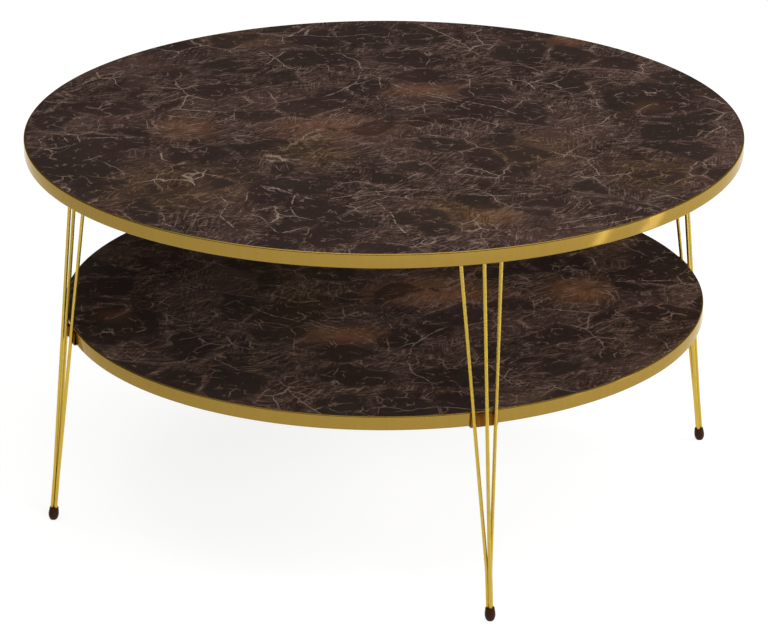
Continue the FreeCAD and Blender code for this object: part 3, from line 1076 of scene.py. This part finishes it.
@dataclass
class ShelfBracket:
    """Folded sheet that holds the shelf: a tongue under it and an upright that leans against two rods."""

    line: LegLine
    shelf_radius: float = SHELF_RADIUS
    shelf_underside: float = SHELF_UNDERSIDE
    shelf_height: float = SHELF_UNDERSIDE + BOARD_THICKNESS
    rim_drop: float = 2 * MM
    sheet: float = 1.5 * MM
    weld_gap: float = 0.05 * MM
    tongue: float = 46 * MM
    overhang: float = 3.5 * MM
    tongue_corner: float = 5 * MM
    rim_corner: float = 1.5 * MM
    fold: float = 1.2 * MM
    screw_setback: float = 15 * MM
    screw_edge: float = 12 * MM
    hole_radius: float = 2.25 * MM
    ease: float = 0.25 * MM

    def face(self, height: float) -> Vector:
        """A point on the upright's inner face, on the leg's middle line.

        Args:
            height: Height above the floor.

        Returns:
            The point.
        """
        line = self.line
        setback = line.rod_diameter / 2 + self.weld_gap + self.sheet - line.outer_offset
        on_axis = line.foot + line.axis * (height / line.axis.z)
        return on_axis - Vector((setback / line.axis.z, 0, 0))

    def model(self) -> bpy.types.Object:
        """Models the bracket.

        Returns:
            The piece, in the leg's frame.
        """
        half = self.line.half_spread((self.shelf_underside + self.shelf_height) / 2) + self.overhang
        end = self.shelf_radius - self.tongue
        fold = self.face(self.shelf_underside)
        rim = self.face(self.shelf_height - self.rim_drop)
        deselect_all()
        bpy.ops.mesh.primitive_plane_add(size=1, location=((end + fold.x) / 2, 0, fold.z))
        bpy.context.object.scale = (fold.x - end, 2 * half, 1)
        piece = named("shelf_bracket")
        select(piece, "EDGE", lambda edge: all(v.co.x > fold.x - NEAR for v in edge.verts))
        extrude(rim - fold)
        rimwards = Vector((0, 1, 0))
        select(
            piece, "EDGE", lambda edge: all((v.co - fold).cross(rimwards).length < NEAR for v in edge.verts)
        )
        bpy.ops.mesh.bevel(offset=self.fold, segments=4, affect="EDGES")
        select(piece, "VERT", lambda vertex: vertex.co.x < end + NEAR)
        bpy.ops.mesh.bevel(offset=self.tongue_corner, segments=5, affect="VERTICES")
        select(piece, "VERT", lambda vertex: vertex.co.z > rim.z - NEAR)
        bpy.ops.mesh.bevel(offset=self.rim_corner, segments=3, affect="VERTICES")
        closed(piece)
        side = 1 if piece.data.polygons[0].normal.z < 0 else -1  # the tongue's wall goes down, off the shelf
        modified(piece, "SOLIDIFY", thickness=self.sheet, offset=side)
        screws = (self.shelf_radius - self.screw_setback, end + self.screw_edge)
        middle = self.shelf_underside - self.sheet / 2
        drilled(piece, [Vector((x, 0, middle)) for x in screws], self.hole_radius)
        eased(piece, self.ease)
        return piece


@dataclass
class MountingPlate:
    """The steel plate on top of a leg, which the rods are welded to."""

    line: LegLine
    thickness: float = 2.5 * MM
    margin: float = 9 * MM
    depth: float = 52 * MM
    corner: float = 6 * MM
    screw_setback: float = 14 * MM
    screw_edge: float = 10 * MM
    hole_radius: float = 2.25 * MM
    nose_share: float = 0.5
    ease: float = 0.3 * MM

    def model(self) -> bpy.types.Object:
        """Models the plate.

        Returns:
            The piece, in the leg's frame.
        """
        line = self.line
        low = line.plate_underside
        rods = line.point(line.length, line.outer_offset, 0).x
        nose = line.point(line.length, line.centre_standoff, 0).x + self.margin
        side = line.rod_spread + self.margin
        inner = rods - self.depth
        deselect_all()
        bpy.ops.mesh.primitive_plane_add(size=1, location=((inner + rods) / 2, 0, low))
        bpy.context.object.scale = (self.depth, 2 * side, 1)
        piece = named("mounting_plate")
        select(piece, "EDGE", lambda edge: all(v.co.x > rods - NEAR for v in edge.verts))
        extrude(Vector((nose - rods, 0, 0)))
        bpy.ops.transform.resize(value=(1, self.nose_share, 1))
        select(piece, "VERT", lambda vertex: True)
        bpy.ops.mesh.bevel(offset=self.corner, segments=5, affect="VERTICES")
        bpy.ops.mesh.select_all(action="SELECT")
        bpy.ops.mesh.dissolve_limited(angle_limit=math.radians(1))
        bpy.ops.mesh.select_all(action="SELECT")
        extrude(Vector((0, 0, self.thickness)))
        closed(piece)
        rows = (rods - self.screw_setback, inner + self.screw_edge)
        sideways = side - self.screw_edge
        middle = low + self.thickness / 2
        holes = [Vector((x, y, middle)) for x in rows for y in (-sideways, sideways)]
        drilled(piece, holes, self.hole_radius)
        eased(piece, self.ease)
        return piece


@dataclass
class Legs:
    """The four legs: each piece is modelled once and repeated at each leg's place."""

    line: LegLine = field(default_factory=LegLine)

    def build(self, finishes: Finishes) -> None:
        """Builds and dresses the legs.

        Args:
            finishes: The table's finishes.
        """
        rods = [(Rod(self.line, place).model(), finishes.gold, "gold_steel") for place in RodPlace]
        models = [
            *rods,
            (MountingPlate(self.line).model(), finishes.gold_sheet, "gold_steel"),
            # the bracket's gold is darkened to brown as painted shade between the rods and the band
            (ShelfBracket(self.line).model(), finishes.bronze, "bronze_steel"),
            (FootCap(self.line).model(), finishes.cap, "foot_cap"),
        ]
        for model, material, slot in models:
            for leg in LegPlace:
                node = f"{leg.node}_{model.name}"
                piece = copied(model, f"{node}_look", Matrix.Rotation(math.radians(leg.value), 4, "Z"))
                dress(piece, material, slot, node)
            bpy.data.objects.remove(model)
        refinish("plate_welds", finishes.gold_sheet)
        # the bracket's welds take the same gold darkened as painted shade
        refinish("bracket_welds", finishes.bronze)
        refinish("plate_screws", finishes.zinc)
        refinish("bracket_screws", finishes.zinc)


@dataclass
class Softbox:
    """A flat soft light: where it hangs beside the camera, its size in metres and its power in watts.

    Gloss shows it only where it is mirrored.
    """

    name: str
    turn: float
    distance: float
    height: float
    width: float
    tall: float
    power: float
    mirrored: bool = True

    def build(self, aim: Vector) -> None:
        """Hangs the light, facing a point.

        Args:
            aim: The point.
        """
        place = beside_camera(self.turn, self.distance, self.height)
        deselect_all()
        bpy.ops.object.light_add(type="AREA", location=place)
        lamp = bpy.context.object
        lamp.name = self.name
        lamp.rotation_euler = (aim - place).to_track_quat("-Z", "Y").to_euler()
        lamp.visible_camera = False
        lamp.visible_glossy = self.mirrored
        lamp.data.shape = "RECTANGLE"
        lamp.data.size, lamp.data.size_y = self.width, self.tall
        lamp.data.energy = self.power


def beside_camera(turn: float, distance: float, height: float) -> Vector:
    """A place in the studio.

    Args:
        turn: Degrees to the right of the camera, about the table's axis.
        distance: Distance from that axis.
        height: Height above the floor.

    Returns:
        The place.
    """
    angle = PHOTO_AZIMUTH - math.pi / 2 + math.radians(turn)
    return Vector((distance * math.cos(angle), distance * math.sin(angle), height))


@dataclass
class Studio:
    """The plain room that the table stands in: a pale lit floor, soft light and the camera."""

    floor_size: float = 40
    floor_colour: str = "#8C8C8A"
    floor_glow: float = 0.8
    wall_light: float = 0.02
    ceiling_light: float = 2.3
    ceiling_edge: float = 0.66
    backdrop: float = 0.95
    aim_height: float = 0.3
    softboxes: tuple[Softbox, ...] = (
        Softbox("front", 18, 4.2, 1.75, 3.4, 1.3, 185, mirrored=False),
        Softbox("right", 95, 3.4, 1.5, 1.6, 1.0, 95, mirrored=False),
        Softbox("right_strip", 59.7, 1.293, 0.3, 0.075, 0.6, 0.27),
        Softbox("far_right_strip", 77.9, 1.253, 0.3, 0.14, 0.6, 0.45),
    )
    camera_distance: float = 4.64104
    camera_height: float = 2.0629
    camera_pitch: float = 0.37765
    lens: float = 183.32

    def build(self) -> None:
        """Builds the floor, the lights and the camera."""
        self.floor()
        for softbox in self.softboxes:
            softbox.build(Vector((0, 0, self.aim_height)))
        self.room()
        self.camera()

    def floor(self) -> None:
        """A wide pale floor that glows a little, so that shadows stay faint."""
        deselect_all()
        bpy.ops.mesh.primitive_plane_add(size=self.floor_size)
        floor = bpy.context.object
        floor.name = "studio_floor"
        matt = {"Base Color": linear(self.floor_colour), "Roughness": 0.9, "Specular IOR Level": 0.1}
        glow = {"Emission Color": WHITE, "Emission Strength": self.floor_glow}
        floor.data.materials.append(Shading.material("pale_lit_floor").surface({**matt, **glow}))

    def room(self) -> None:
        """A bright ceiling over dim walls, with a pale backdrop."""
        world = bpy.data.worlds.new("studio")
        s = Shading(world)
        height = s.add("SeparateXYZ", {0: s.add("TexCoord", None, "Generated")}, "Z")
        rise = {0: height, 1: self.ceiling_edge, 2: 1.0, 3: self.wall_light, 4: self.ceiling_light}
        room = s.add("MapRange", rise, **SOFT)
        seen = s.add("LightPath", None, "Is Camera Ray")
        light = s.add("Mix", {0: seen, 2: room, 3: self.backdrop})
        glow = s.add("Background", {"Color": WHITE, "Strength": light})
        s.add("OutputWorld", {"Surface": glow}, None)
        bpy.context.scene.world = world
        bpy.context.scene.view_settings.view_transform = "Standard"

    def camera(self) -> None:
        """The camera at the photo's view."""
        data = bpy.data.cameras.new("photo_camera")
        camera = bpy.data.objects.new("photo_camera", data)
        bpy.context.scene.collection.objects.link(camera)
        camera.location = beside_camera(0, self.camera_distance, self.camera_height)
        camera.rotation_euler = (math.pi / 2 - self.camera_pitch, 0, PHOTO_AZIMUTH)
        data.lens = self.lens
        bpy.context.scene.camera = camera


def main() -> None:
    """Builds the table's looks around the frame and reports each piece."""
    logging.basicConfig(level=logging.INFO, format="%(message)s")
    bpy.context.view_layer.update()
    finishes = Finishes()
    Board("top", TOP_RADIUS, underside=462 * MM, seam_angle=-18).build(finishes)
    Board("shelf", SHELF_RADIUS, SHELF_UNDERSIDE, seam_angle=196).build(finishes)
    Legs().build(finishes)
    Studio().build()


if __name__ == "__main__":
    main()
